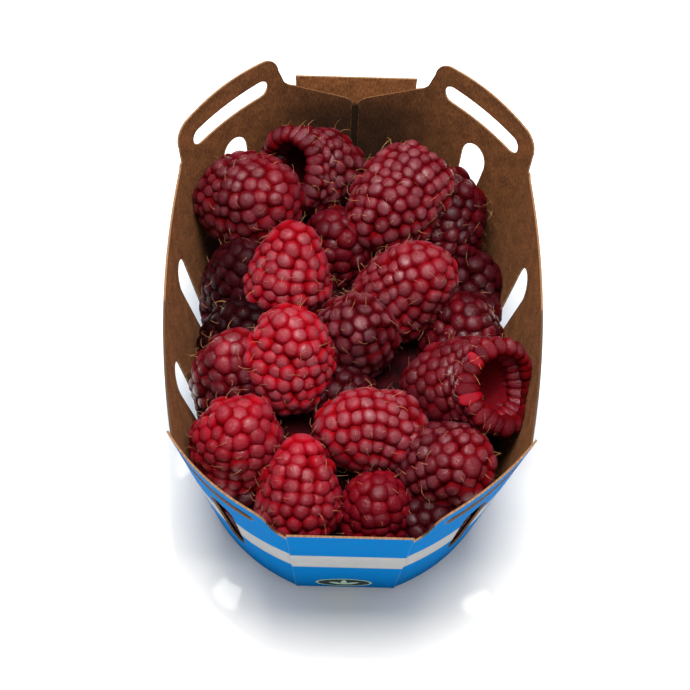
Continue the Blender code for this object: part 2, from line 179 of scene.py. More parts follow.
class PunnetBoard(bpy.types.PropertyGroup):
    """Sizes and colours of the board."""

    thickness: bpy.props.FloatProperty(
        name="Thickness", description="Thickness of the board", default=0.0005, unit="LENGTH")
    flap_height: bpy.props.FloatProperty(
        name="Flap height", description="Height of a handle flap above its crease",
        default=0.010, unit="LENGTH")
    wear: bpy.props.FloatProperty(
        name="Worn edge", description="Width of the rubbed band along every cut edge",
        default=0.0004, unit="LENGTH")
    blue: bpy.props.FloatVectorProperty(
        name="Print", description="Blue of the printed outside", subtype="COLOR", size=4,
        default=(0.0, 0.148, 0.44, 1.0))
    stripe: bpy.props.FloatVectorProperty(
        name="Stripe", description="Pale stripe round the outside", subtype="COLOR", size=4,
        default=(0.37, 0.38, 0.39, 1.0))
    kraft: bpy.props.FloatVectorProperty(
        name="Inside", description="Brown of the unprinted inside", subtype="COLOR", size=4,
        default=(0.183, 0.066, 0.0207, 1.0))
    cut: bpy.props.FloatVectorProperty(
        name="Cut edge", description="Tan of the cut edges", subtype="COLOR", size=4,
        default=(0.27, 0.130, 0.050, 1.0))


class PunnetFruit(bpy.types.PropertyGroup):
    """Sizes and colours of the berries."""

    pitch: bpy.props.FloatProperty(
        name="Drupelet pitch", description="Distance from one drupelet to the next",
        default=0.0033, unit="LENGTH")
    dark: bpy.props.FloatVectorProperty(
        name="Overripe flesh", description="Flesh of the darkest berries", subtype="COLOR",
        size=4, default=(0.029, 0.0006, 0.0028, 1.0))
    bright: bpy.props.FloatVectorProperty(
        name="Fresh flesh", description="Flesh of the brightest berries", subtype="COLOR",
        size=4, default=(0.26, 0.0045, 0.014, 1.0))
    # the bloom colour is the real dust on the drupelets together with painted sheen on their tops
    bloom_and_sheen: bpy.props.FloatVectorProperty(
        name="Bloom", description="Dusty tone on top of the drupelets", subtype="COLOR",
        size=4, default=(0.20, 0.060, 0.071, 1.0))
    hair: bpy.props.FloatVectorProperty(
        name="Hairs", description="Dried hairs on the berries", subtype="COLOR", size=4,
        default=(0.62, 0.28, 0.10, 1.0))
    hair_share: bpy.props.FloatProperty(
        name="Hairy share", description="Share of the drupelets that keep a hair",
        default=0.55, min=0.0, max=1.0, subtype="FACTOR")


class PunnetStage(bpy.types.PropertyGroup):
    """Floor and light."""

    floor: bpy.props.FloatVectorProperty(
        name="Floor", description="Pale floor", subtype="COLOR", size=4,
        default=(0.87, 0.85, 0.81, 1.0))
    key: bpy.props.FloatProperty(
        name="Key light", description="Power of the large light over the far side",
        default=25.0, unit="POWER")
    fill: bpy.props.FloatProperty(
        name="Sky", description="Strength of the even light from all round",
        default=0.42, min=0.0, max=1.0, subtype="FACTOR")


def bowed(p0, p1, bulge, t):
    """Point at t on a shallow arc from p0 to p1 that bows outward by bulge."""
    a, b = Vector(p0), Vector(p1)
    d = (b - a).normalized()
    return a.lerp(b, t) + Vector((-d.y, d.x)) * (bulge * 4 * t * (1 - t))


def wall_point(side, s, d, board):
    """Middle of the board (mm) from a place in the flat blank: s along the rim, d above the crease."""
    h = 1 + d / SLANT
    inside_end = 1.5 * board - 0.08
    k = 0
    while k < 4 and s > STRIP[k]:
        s -= STRIP[k]
        k += 1
    t = s / STRIP[k]
    far = k < 2 or (k == 2 and t < 0.5)
    if k > 2:
        k, t = 4 - k, 1 - t
    if k == 0:
        top = Vector((END_X_TOP * t, END_Y_TOP - inside_end))
        low = Vector((END_X_BASE * t, END_Y_BASE - inside_end))
    elif k == 1:
        corner = "far" if far else ("near_left" if side < 0 else "near_right")
        low_bulge, top_bulge = CORNER_BULGE[corner]
        top = bowed((END_X_TOP, END_Y_TOP - inside_end), NOTCH_TOP, top_bulge, t)
        low = bowed((END_X_BASE, END_Y_BASE - inside_end), NOTCH_BASE, low_bulge, t)
    else:
        top = bowed(NOTCH_TOP, (NOTCH_TOP[0], -NOTCH_TOP[1]), SIDE_BULGE[1], t)
        low = bowed(NOTCH_BASE, (NOTCH_BASE[0], -NOTCH_BASE[1]), SIDE_BULGE[0], t)
        far = True
    p = low.lerp(top, h)
    return Vector((side * p.x, p.y if far else -p.y, RIM_Z * h))


def glue_edge(t):
    """Top edge of a glue flap, from the seam (0) to the corner (1)."""
    d = GLUE_SEAM + GLUE_RISE * t
    if t < GLUE_ROUND:
        d -= GLUE_DIP * (1 - math.sqrt(1 - (1 - t / GLUE_ROUND) ** 2))
    return d


def half_outline(flap):
    """Upper edge of one end of a wall strip in the flat board, from the seam to past the notch."""
    pts = [(L_GLUE * t, glue_edge(t)) for t in GLUE_STOPS]
    pts.append((L_GLUE + 0.05 * L_CORNER, -0.5))
    x0, x1, r0, r1 = FLAP_FROM * L_CORNER, FLAP_TO * L_CORNER, FLAP_R_END, FLAP_R_SIDE
    pts.append((L_GLUE + x0, 0.9))
    for i in range(11):
        a = math.radians(7.5 * i)
        pts.append((L_GLUE + x0 + FLAP_LEAN + r0 * (1 - math.cos(a)), flap - r0 * (1 - math.sin(a))))
    top = x0 + FLAP_LEAN + r0
    for i in range(1, 12):
        f = i / 12
        pts.append((L_GLUE + top + (x1 - r1 - top) * f, flap + FLAP_CROWN * math.sin(math.pi * f)))
    for i in range(11):
        a = math.radians(9 * i)
        pts.append((L_GLUE + x1 - r1 * (1 - math.sin(a)), flap - r1 * (1 - math.cos(a))))
    pts += [(L_GLUE + L_CORNER + x, y) for x, y in ((-0.3, 0.1), (0.4, 0.5), (2.2, 0.0))]
    return pts


def window_outline(cx, widths, top, bottom, steps=12):
    """Window in a wall: an arched top, straight sides that close in, and a rounded foot."""
    pts = []
    for i in range(steps + 1):
        a = math.pi * i / steps
        pts.append((cx + widths[0] / 2 * math.cos(a), top - ARCH_H + ARCH_H * math.sin(a)))
    for i in range(steps + 1):
        a = math.pi * (1 + i / steps)
        pts.append((cx + widths[1] / 2 * math.cos(a), bottom + ROUND_FOOT_H + ROUND_FOOT_H * math.sin(a)))
    return pts


def slot_outline(x0, x1, steps=8):
    """Finger slot in a handle flap, with round ends."""
    r, c = (SLOT_HIGH - SLOT_LOW) / 2, (SLOT_HIGH + SLOT_LOW) / 2
    pts = []
    for end, way in ((x1 - r, 1), (x0 + r, -1)):
        for i in range(steps + 1):
            a = math.pi * i / steps
            pts.append((end + way * r * math.sin(a), c - way * r * math.cos(a)))
    return pts


def new_piece(name, bm, materials, smooth_angle=35.0):
    """Object in the scene from a bmesh, smooth but for its sharp edges."""
    mesh = bpy.data.meshes.new(name)
    bm.to_mesh(mesh)
    bm.free()
    for mat in materials:
        mesh.materials.append(mat)
    mesh.shade_smooth()
    mesh.set_sharp_from_angle(angle=math.radians(smooth_angle))
    obj = bpy.data.objects.new(name, mesh)
    bpy.context.scene.collection.objects.link(obj)
    return obj


def finish_piece(obj, node):
    """Puts a piece under the root body and hides the solid that it stands for."""
    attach(obj, "root")
    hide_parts(node)


def apply_modifiers(obj):
    """Replaces the object's mesh by what its modifiers make."""
    graph = bpy.context.evaluated_depsgraph_get()
    mesh = bpy.data.meshes.new_from_object(obj.evaluated_get(graph))
    obj.modifiers.clear()
    obj.data = mesh


def flat_sheet(loops, columns, rows, wear):
    """Flat board from its outlines (mm): filled, bordered by a worn band, and cut where it will bend."""
    bm = bmesh.new()
    edges = []
    for loop in loops:
        verts = [bm.verts.new((x, y, 0.0)) for x, y in loop]
        edges += [bm.edges.new(pair) for pair in zip(verts, verts[1:] + verts[:1])]
    bmesh.ops.triangle_fill(bm, use_beauty=True, edges=edges, normal=(0, 0, 1))
    bmesh.ops.inset_region(bm, faces=bm.faces[:], thickness=wear, use_boundary=True, use_even_offset=True)
    worn = bm.verts.layers.float.new("worn")
    for v in bm.verts:
        v[worn] = 1.0 if v.is_boundary else 0.0
    for place, normal in ([((x, 0, 0), (1, 0, 0)) for x in columns]
                          + [((0, y, 0), (0, 1, 0)) for y in rows]):
        bmesh.ops.bisect_plane(bm, geom=bm.verts[:] + bm.edges[:] + bm.faces[:], dist=1e-4,
                               plane_co=place, plane_no=normal)
    uv = bm.loops.layers.uv.new("blank")
    for face in bm.faces:
        for loop in face.loops:
            loop[uv].uv = loop.vert.co.xy / UV_MM
    return bm


def fold_board(name, bm, bend, board):
    """Bends a flat sheet by the function bend, gives it thickness, and colours its two faces and edges."""
    for v in bm.verts:
        v.co = bend(v.co.x, v.co.y) * MM
    bmesh.ops.triangulate(bm, faces=bm.faces[:])
    obj = new_piece(name, bm, [])
    solid = obj.modifiers.new("board", "SOLIDIFY")
    solid.thickness = board.thickness
    solid.offset = 0.0
    solid.material_offset = 1
    solid.material_offset_rim = 2
    for mat in board_materials():
        obj.data.materials.append(mat)
    apply_modifiers(obj)
    # the edges that stand on the floor take the print's finish
    low_edge = 0.9 * MM
    for poly in obj.data.polygons:
        if poly.material_index == 2 and poly.center.z < low_edge:
            poly.material_index = 0
    obj.data.set_sharp_from_angle(angle=math.radians(40))
    return obj


def wall_piece(side, board):
    """One long wall with its glue flaps, windows and two handle flaps."""
    thick, flap = board.thickness / MM, board.flap_height / MM
    near = half_outline(flap)
    foot = -SLANT + FOOT
    upper = near + [(STRIP_LENGTH - x, y) for x, y in reversed(near)]
    loops = [[(near[0][0], foot)] + upper + [(STRIP_LENGTH - near[0][0], foot)]]
    for start, way in ((L_GLUE, 1), (STRIP_LENGTH - L_GLUE, -1)):
        ends = sorted((start + way * SLOT_FROM * L_CORNER, start + way * SLOT_TO * L_CORNER))
        loops.append(slot_outline(*ends))
        loops.append(window_outline(start + way * CORNER_WINDOW * L_CORNER, CORNER_WINDOW_WIDTHS,
                                    CORNER_WINDOW_TOP, WINDOW_BOTTOM))
        loops.append(window_outline(start + way * (L_CORNER + SIDE_WINDOW), WINDOW_WIDTHS,
                                    WINDOW_TOP, WINDOW_BOTTOM))
    columns, s = [], 0.0
    for length, parts in zip(STRIP, (3, 14, 22, 14, 3)):
        columns += [s + length * i / parts for i in range(parts)]
        s += length
    rows = [foot + (flap - foot) * i / 9 for i in range(1, 9)]
    bm = flat_sheet(loops, columns[1:], rows, board.wear / MM)
    if side > 0:
        bmesh.ops.reverse_faces(bm, faces=bm.faces[:])
    name = "board_wall_left" if side < 0 else "board_wall_right"
    return fold_board(name, bm, lambda s, d: wall_point(side, s, d, thick), board)


def tray_point(x, v, thick):
    """Middle of the board (mm) of the base and its two end panels; v runs along the base and up."""
    slope = math.atan2(END_Y_TOP - END_Y_BASE, END_Z)
    rise = math.pi / 2 - slope
    way, v = (1, v) if v > 0 else (-1, -v)
    radius = BEND_RADIUS
    # where the middle lines of base and end panel would meet, and the bend between them
    meet = END_Y_BASE - thick / 2 / math.cos(slope) + thick / 2 * math.tan(slope)
    start = meet - radius * math.tan(rise / 2)
    bend = radius * rise
    if v < start:
        y, z = v, 0.0
    elif v < start + bend:
        a = (v - start) / radius
        y, z = start + radius * math.sin(a), radius * (1 - math.cos(a))
    else:
        on = v - start - bend
        y = start + radius * math.sin(rise) + on * math.cos(rise)
        z = radius * (1 - math.cos(rise)) + on * math.sin(rise)
    return Vector((x, way * y, z + thick / 2))


def tray_piece(board):
    """The base with the flat end panels folded up from it."""
    thick = board.thickness / MM
    slope = math.atan2(END_Y_TOP - END_Y_BASE, END_Z)
    top = END_Y_BASE + END_Z / math.cos(slope) - END_TRIM
    right = [(END_X_TOP, top), (END_X_BASE, END_Y_BASE - 0.6)]
    side = []
    for i in range(1, 40):
        s = L_GLUE + (STRIP_LENGTH - 2 * L_GLUE) * i / 40
        p = wall_point(1, s, -SLANT, thick)
        side.append((p.x, p.y))
    right = right + side + [(x, -y) for x, y in reversed(right)]
    outline = right + [(-x, y) for x, y in reversed(right)]
    crease = END_Y_BASE - 0.5
    rows = [w * (crease + 0.25 * i) for i in range(-5, 5) for w in (1, -1)]
    rows += [w * (END_Y_BASE + 6.0 * i) for i in range(1, 8) for w in (1, -1)]
    rows += [10.0 * i for i in range(-4, 5)]
    bm = flat_sheet([outline], [5.0 * i for i in range(-5, 6)], rows, board.wear / MM)
    # the print's stripe lies lower on the end panels, so their place in the print is set off
    uv = bm.loops.layers.uv["blank"]
    shift = STRIPE_TOP - (END_Y_BASE + END_STRIPE_Z / math.cos(slope))
    for face in bm.faces:
        for loop in face.loops:
            x, y = loop.vert.co.xy
            loop[uv].uv = Vector((x + TRAY_OFFSET, abs(y) + shift)) / UV_MM
    bmesh.ops.reverse_faces(bm, faces=bm.faces[:])
    return fold_board("board_base_and_ends", bm, lambda x, v: tray_point(x, v, thick), board)


def bump_from(tree, height, strength, distance, shader):
    """Wires a height through a Bump node into the shader's normal; returns the Bump's output."""
    bump = tree.nodes.new("ShaderNodeBump")
    bump.inputs["Strength"].default_value = strength
    bump.inputs["Distance"].default_value = distance
    tree.links.new(height, bump.inputs["Height"])
    tree.links.new(bump.outputs["Normal"], shader.inputs["Normal"])
    return bump.outputs["Normal"]


def new_material(name, roughness):
    """Material with its Principled shader: (material, node tree, shader)."""
    mat = bpy.data.materials.new(name)
    mat.use_nodes = True
    shader = mat.node_tree.nodes["Principled BSDF"]
    shader.inputs["Roughness"].default_value = roughness
    return mat, mat.node_tree, shader


def math_node(tree, operation, a, b=None):
    """Math node; each of a and b is a socket or a number."""
    node = tree.nodes.new("ShaderNodeMath")
    node.operation = operation
    for socket, value in zip(node.inputs, (a, b)):
        if isinstance(value, bpy.types.NodeSocket):
            tree.links.new(value, socket)
        elif value is not None:
            socket.default_value = value
    return node.outputs[0]


def times(tree, a, b):
    """Product of two values, each a socket or a number."""
    return math_node(tree, "MULTIPLY", a, b)


def split_xyz(tree, vector):
    """X, Y and Z of a vector."""
    node = tree.nodes.new("ShaderNodeSeparateXYZ")
    tree.links.new(vector, node.inputs[0])
    return node.outputs


def object_place(tree):
    """Object coordinates."""
    return tree.nodes.new("ShaderNodeTexCoord").outputs["Object"]


def scaled(colour, share):
    """Opaque colour, lighter or darker by a share."""
    return tuple(min(1.0, share * c) for c in colour[:3]) + (1.0,)


def mix_colour(tree, factor, a, b, blend="MIX"):
    """Colour mix; factor, a and b are sockets or values."""
    node = tree.nodes.new("ShaderNodeMix")
    node.data_type = "RGBA"
    node.blend_type = blend
    node.clamp_factor = True
    for socket, value in ((node.inputs["Factor"], factor), (node.inputs[6], a), (node.inputs[7], b)):
        if isinstance(value, bpy.types.NodeSocket):
            tree.links.new(value, socket)
        else:
            socket.default_value = value
    return node.outputs[2]


def remap(tree, value, low, high, to_low=0.0, to_high=1.0):
    """Map Range node, clamped and smooth."""
    node = tree.nodes.new("ShaderNodeMapRange")
    node.interpolation_type = "SMOOTHSTEP"
    tree.links.new(value, node.inputs["Value"])
    for name, number in zip(("From Min", "From Max", "To Min", "To Max"), (low, high, to_low, to_high)):
        node.inputs[name].default_value = number
    return node.outputs["Result"]


def noise_value(tree, vector, scale, detail=3.0, roughness=0.5):
    """Noise texture's value."""
    node = tree.nodes.new("ShaderNodeTexNoise")
    node.inputs["Scale"].default_value = scale
    node.inputs["Detail"].default_value = detail
    node.inputs["Roughness"].default_value = roughness
    tree.links.new(vector, node.inputs["Vector"])
    return node.outputs["Fac"]


def surface_group():
    """Node group that the board's finishes share: fibres, blotches, specks, rubbed edges and fold lines."""
    name = "board_surface"
    if name in bpy.data.node_groups:
        return bpy.data.node_groups[name]
    group = bpy.data.node_groups.new(name, "ShaderNodeTree")
    group.interface.new_socket("Vector", in_out="INPUT", socket_type="NodeSocketVector")
    start = group.nodes.new("NodeGroupInput")
    place = start.outputs["Vector"]
    stretch = group.nodes.new("ShaderNodeMapping")
    stretch.inputs["Scale"].default_value = (1.0, 0.32, 1.0)
    group.links.new(place, stretch.inputs["Vector"])
    fibre = noise_value(group, stretch.outputs["Vector"], 260.0, 6.0, 0.65)
    masks = {"Fibre": fibre,
             "Blotch": noise_value(group, place, 26.0, 4.0, 0.6),
             "Speck": remap(group, noise_value(group, place, 210.0, 1.0), 0.76, 0.82),
             "Worn": worn_mask(group, fibre),
             "Crease": crease_mask(group, place)}
    end = group.nodes.new("NodeGroupOutput")
    for output, socket in masks.items():
        group.interface.new_socket(output, in_out="OUTPUT", socket_type="NodeSocketFloat")
        group.links.new(socket, end.inputs[output])
    return group


def add_surface(tree):
    """The shared group on the board's own UV map, placed in a material's tree: (UV, the group's outputs)."""
    uv = tree.nodes.new("ShaderNodeUVMap")
    uv.uv_map = "blank"
    node = tree.nodes.new("ShaderNodeGroup")
    node.node_tree = surface_group()
    tree.links.new(uv.outputs["UV"], node.inputs["Vector"])
    return uv.outputs["UV"], node.outputs


def worn_mask(tree, fibre):
    """Share of rubbed surface near the cut edges, broken up by the fibres."""
    worn = tree.nodes.new("ShaderNodeAttribute")
    worn.attribute_name = "worn"
    total = math_node(tree, "ADD", worn.outputs["Fac"], times(tree, fibre, 0.9))
    return remap(tree, total, 1.14, 1.55)


def crease_mask(tree, uv):
    """One along the four scored fold lines of a wall, falling to nothing beside them."""
    across = split_xyz(tree, uv)["X"]
    folds = [L_GLUE, L_GLUE + L_CORNER, STRIP_LENGTH - L_GLUE - L_CORNER, STRIP_LENGTH - L_GLUE]
    total = None
    for s in folds:
        away = math_node(tree, "ABSOLUTE", math_node(tree, "SUBTRACT", across, s / UV_MM))
        line = remap(tree, away, 0.0, 0.0062, 1.0, 0.0)
        total = line if total is None else math_node(tree, "MAXIMUM", total, line)
    return total


def painted_flap_shade(tree, uv):
    """Factor of painted shade on the glue flaps, darkest low down."""
    across, up, _ = split_xyz(tree, uv)
    before, past = 8.0, 16.0
    end = STRIP_LENGTH - L_GLUE
    first = remap(tree, across, (L_GLUE - before) / UV_MM, (L_GLUE + past) / UV_MM, 1.0, 0.0)
    last = remap(tree, across, (end - past) / UV_MM, (end + before) / UV_MM)
    shade_by_height = remap(tree, up, -0.105, -0.025, 0.24, 0.62)
    flap_shade = mix_colour(tree, math_node(tree, "MAXIMUM", first, last), (1.0, 1.0, 1.0, 1.0), shade_by_height)
    # on the end panels, past the gap in the UV map, painted shade lies below the top strip and painted light
    # on the strip itself
    panel = remap(tree, across, *TRAY_GAP)
    top = remap(tree, up, -0.066, -0.050, 0.12, 1.40)
    return mix_colour(tree, panel, flap_shade, top)


def print_material():
    """Printed outside: blue with a pale stripe, a little satin, rubbed along the edges."""
    board = bpy.context.scene.punnet_board
    mat, tree, shader = new_material("printed_board", 0.5)
    shader.inputs["Specular IOR Level"].default_value = 0.006
    uv, surface = add_surface(tree)
    wobble = times(tree, math_node(tree, "SUBTRACT", surface["Fibre"], 0.5), 0.0012)
    height = math_node(tree, "ADD", split_xyz(tree, uv)["Y"], wobble)
    low, high, soft = STRIPE_BOTTOM / UV_MM, STRIPE_TOP / UV_MM, 0.0006
    above = remap(tree, height, low - soft, low + soft)
    below = remap(tree, height, high - soft, high + soft, 1.0, 0.0)
    stripe = times(tree, above, below)
    colour = mix_colour(tree, stripe, tuple(board.blue), tuple(board.stripe))
    shade = remap(tree, surface["Blotch"], 0.25, 0.75, 0.93, 1.05)
    colour = mix_colour(tree, 1.0, colour, shade, "MULTIPLY")
    colour = mix_colour(tree, times(tree, surface["Worn"], 0.4), colour, (0.42, 0.56, 0.72, 1.0))
    tree.links.new(colour, shader.inputs["Base Color"])
    tree.links.new(remap(tree, surface["Blotch"], 0.2, 0.8, 0.45, 0.6), shader.inputs["Roughness"])
    bumps = math_node(tree, "SUBTRACT", times(tree, surface["Fibre"], 0.25), surface["Crease"])
    bump_from(tree, bumps, 0.35, 0.00015, shader)
    return mat


def kraft_material():
    """Unprinted inside: brown board with fibres, blotches, pale specks and rubbed fold lines, with painted
    shade on the glue flaps and painted light on the end panels' tops.
    """
    board = bpy.context.scene.punnet_board
    mat, tree, shader = new_material("kraft_board", 0.85)
    shader.inputs["Specular IOR Level"].default_value = 0.2
    uv, surface = add_surface(tree)
    base = tuple(board.kraft)
    colour = mix_colour(tree, remap(tree, surface["Blotch"], 0.3, 0.72), scaled(base, 0.62), base)
    grain = remap(tree, surface["Fibre"], 0.33, 0.68, 0.62, 1.38)
    colour = mix_colour(tree, 1.0, colour, grain, "MULTIPLY")
    colour = mix_colour(tree, times(tree, surface["Speck"], 0.55), colour, (0.55, 0.36, 0.20, 1.0))
    crease = times(tree, surface["Crease"], surface["Blotch"])
    colour = mix_colour(tree, times(tree, crease, 0.22), colour, tuple(board.cut))
    # painted shade on the glue flaps, painted light on the end panels' tops
    colour = mix_colour(tree, 1.0, colour, painted_flap_shade(tree, uv), "MULTIPLY")
    colour = mix_colour(tree, times(tree, surface["Worn"], 0.6), colour, tuple(board.cut))
    tree.links.new(colour, shader.inputs["Base Color"])
    bump_from(tree, surface["Fibre"], 0.5, 0.00012, shader)
    return mat


def slot_shade(tree, uv):
    """Factor of painted shade on the cut edges in the slots of the two near handle flaps: one elsewhere."""
    across, up, _ = split_xyz(tree, uv)
    middle = STRIP_LENGTH / 2 / UV_MM
    near = remap(tree, across, middle, middle + 0.01)
    wall = remap(tree, across, *TRAY_GAP, 1.0, 0.0)
    low = remap(tree, up, (SLOT_LOW - 0.8) / UV_MM, (SLOT_LOW - 0.2) / UV_MM)
    high = remap(tree, up, (SLOT_HIGH + 0.3) / UV_MM, (SLOT_HIGH + 0.8) / UV_MM, 1.0, 0.0)
    slot = times(tree, times(tree, near, wall), times(tree, low, high))
    return math_node(tree, "SUBTRACT", 1.0, times(tree, slot, 0.72))


def cut_material():
    """Cut edge of the board: tan, with the layers of the board showing, and painted shade in the slots of the
    near handle flaps.
    """
    board = bpy.context.scene.punnet_board
    mat, tree, shader = new_material("cut_board_edge", 0.9)
    uv, surface = add_surface(tree)
    base = tuple(board.cut)
    colour = mix_colour(tree, remap(tree, surface["Fibre"], 0.35, 0.66), scaled(base, 0.5), base)
    colour = mix_colour(tree, 1.0, colour, slot_shade(tree, uv), "MULTIPLY")
    tree.links.new(colour, shader.inputs["Base Color"])
    bump_from(tree, surface["Fibre"], 0.6, 0.0001, shader)
    return mat


def board_materials():
    """The print, the brown inside and the cut edge, each made once."""
    makers = {"printed_board": print_material, "kraft_board": kraft_material, "cut_board_edge": cut_material}
    return [bpy.data.materials.get(name) or make() for name, make in makers.items()]


def flesh_material():
    """Raspberry flesh: deep red between the drupelets, partly painted shade; dusty on top with painted sheen;
    darkened as painted shade on berries in the shade of their neighbours; some wet glints.
    """
    fruit = bpy.context.scene.punnet_fruit
    name = "raspberry_flesh"
    if name in bpy.data.materials:
        return bpy.data.materials[name]
    mat, tree, shader = new_material(name, 0.45)
    shader.inputs["Subsurface Weight"].default_value = 0.42
    shader.inputs["Subsurface Radius"].default_value = (1.0, 0.10, 0.12)
    shader.inputs["Subsurface Scale"].default_value = 0.0010
    shader.inputs["Coat Roughness"].default_value = 0.09
    shader.inputs["Specular IOR Level"].default_value = 0.04
    place = object_place(tree)
    look = tree.nodes.new("ShaderNodeAttribute")
    look.attribute_name = "look"
    split = tree.nodes.new("ShaderNodeSeparateColor")
    tree.links.new(look.outputs["Color"], split.inputs[0])
    # the red channel is the drupelet's tone, which below zero is painted shade, crown its height above the
    # body, lot its own random number
    ripeness_and_shade, crown, lot = split.outputs
    dust_and_sheen = look.outputs["Alpha"]
    mottle = noise_value(tree, place, 900.0, 3.0, 0.6)
    patch = noise_value(tree, place, 150.0, 2.0)
    drift = times(tree, math_node(tree, "SUBTRACT", patch, 0.5), 0.22)
    tone = math_node(tree, "ADD", ripeness_and_shade, drift)
    skin = mix_colour(tree, tone, tuple(fruit.dark), tuple(fruit.bright))
    # between the drupelets the flesh turns a deeper red, partly its own colour and partly painted shade
    crevice_red_and_shade = mix_colour(tree, 1.0, skin, (0.85, 0.02, 0.17, 1.0), "MULTIPLY")
    skin = mix_colour(tree, remap(tree, crown, 0.30, 0.80), crevice_red_and_shade, skin)
    # bloom on the crowns, real dust together with painted sheen, broken up, more on some drupelets and on
    # some berries
    bloom_and_sheen = remap(tree, crown, 0.60, 0.97, 0.0, 0.62)
    for share in (remap(tree, mottle, 0.25, 0.75, 0.5, 1.0), remap(tree, lot, 0.0, 1.0, 0.45, 1.0), dust_and_sheen):
        bloom_and_sheen = times(tree, bloom_and_sheen, share)
    colour = mix_colour(tree, bloom_and_sheen, skin, tuple(fruit.bloom_and_sheen))
    # painted shade: a tone below zero darkens a berry that lies in the shade of its neighbours
    shade = remap(tree, ripeness_and_shade, -0.7, 0.0, 0.15, 1.0)
    tree.links.new(mix_colour(tree, 1.0, colour, shade, "MULTIPLY"), shader.inputs["Base Color"])
    sheen = math_node(tree, "ADD", remap(tree, mottle, 0.3, 0.7, 0.36, 0.56),
                      remap(tree, crown, 0.3, 0.8, 0.5, 0.0))
    tree.links.new(sheen, shader.inputs["Roughness"])
    wet = times(tree, remap(tree, patch, 0.44, 0.62), remap(tree, lot, 0.3, 0.8))
    coat = math_node(tree, "ADD", times(tree, wet, 0.65), 0.28)
    coat = times(tree, coat, remap(tree, crown, 0.5, 0.9))
    coat = times(tree, coat, remap(tree, ripeness_and_shade, -0.25, 0.05, 0.2, 1.0))
    tree.links.new(coat, shader.inputs["Coat Weight"])
    grain = math_node(tree, "ADD", times(tree, noise_value(tree, place, 3600.0, 2.0), 0.8), mottle)
    tree.links.new(bump_from(tree, grain, 0.8, 0.0002, shader), shader.inputs["Coat Normal"])
    return mat


def shade_material():
    """Painted shade: near-black red flesh for the fruit deep between the berries."""
    mat, tree, shader = new_material("fruit_shade", 1.0)
    shader.inputs["Specular IOR Level"].default_value = 0.1
    tone = remap(tree, noise_value(tree, object_place(tree), 260.0), 0.35, 0.7)
    colour = mix_colour(tree, tone, (0.006, 0.0003, 0.0006, 1.0), (0.030, 0.0010, 0.0025, 1.0))
    tree.links.new(colour, shader.inputs["Base Color"])
    return mat


def hair_material():
    """Dried golden hair."""
    mat, tree, shader = new_material("dried_hair", 0.5)
    tone = remap(tree, noise_value(tree, object_place(tree), 300.0), 0.3, 0.7)
    pale = tuple(bpy.context.scene.punnet_fruit.hair)
    tree.links.new(mix_colour(tree, tone, scaled(pale, 0.35), pale), shader.inputs["Base Color"])
    return mat


def mark_materials():
    """Dark ground and pale leaf of the end panel's mark."""
    mats = []
    for name, colour in (("mark_ground", (0.004, 0.012, 0.008, 1.0)), ("mark_leaf", (0.36, 0.52, 0.40, 1.0))):
        mat, tree, shader = new_material(name, 0.4)
        shader.inputs["Specular IOR Level"].default_value = 0.05
        shade = remap(tree, noise_value(tree, object_place(tree), 1800.0), 0.3, 0.7)
        tree.links.new(mix_colour(tree, shade, colour, scaled(colour, 1.25)), shader.inputs["Base Color"])
        mats.append(mat)
    return mats


def berry_profile(t, cone, hollow):
    """Half width of a berry, as a share of its widest, from the stalk end (0) to the tip (1)."""
    taper = 1 - CONE_TAPER * cone * max(0.0, (t - 0.3) / 0.7)
    half = math.sqrt(max(0.0, 1 - abs((t - WIDEST) / TAPER) ** BLUNT))
    if hollow and t < WIDEST:
        half = 1 - MOUTH_TAPER * (1 - half)
    return taper * half


def berry_path(length, width, cone, hollow, steps=60):
    """Points (radius, height) down a berry's side from its tip to its stalk end, with travelled length."""
    path, travelled = [(0.0, length / 2, 0.0)], 0.0
    for i in range(steps + 1):
        t = 1 - i / steps
        r, z = width / 2 * berry_profile(t, cone, hollow), length * (t - 0.5)
        travelled += math.hypot(r - path[-1][0], z - path[-1][1])
        path.append((r, z, travelled))
    return path


def along(path, distance):
    """Radius, height and outward normal at a distance down the path."""
    for (r0, z0, s0), (r1, z1, s1) in zip(path, path[1:]):
        if s1 >= distance and s1 > s0:
            f = (distance - s0) / (s1 - s0)
            step = Vector((r1 - r0, z1 - z0)).normalized()
            return r0 + (r1 - r0) * f, z0 + (z1 - z0) * f, Vector((-step.y, step.x))
    raise ValueError("past the end of the path")


def add_bead(bm, scratch, at, outward, sizes, facets, values):
    """One drupelet, a pillow across the berry's ring and down its side. Its values are tone, lot, and dust
    with painted sheen.
    """
    bead = bmesh.new()
    look = bead.verts.layers.float_color.new("look")
    bmesh.ops.create_uvsphere(bead, u_segments=facets[0], v_segments=facets[1], radius=1.0)
    for v in bead.verts:
        v[look] = (values[0], max(0.0, v.co.z), values[1], values[2])
        v.co.z = math.copysign(abs(v.co.z) ** DOME_POWER, v.co.z)
    across = Vector((1, 0, 0))
    if outward.xy.length > 1e-3:
        across = Vector((-outward.y, outward.x, 0.0)).normalized()
    turn = Matrix((across, outward.cross(across), outward)).transposed().to_4x4()
    matrix = Matrix.Translation(at) @ turn @ Matrix.Diagonal((*sizes, 1))
    bmesh.ops.transform(bead, matrix=matrix, verts=bead.verts[:])
    bead.to_mesh(scratch)
    bead.free()
    bm.from_mesh(scratch, face_normals=False, vertex_normals=False)


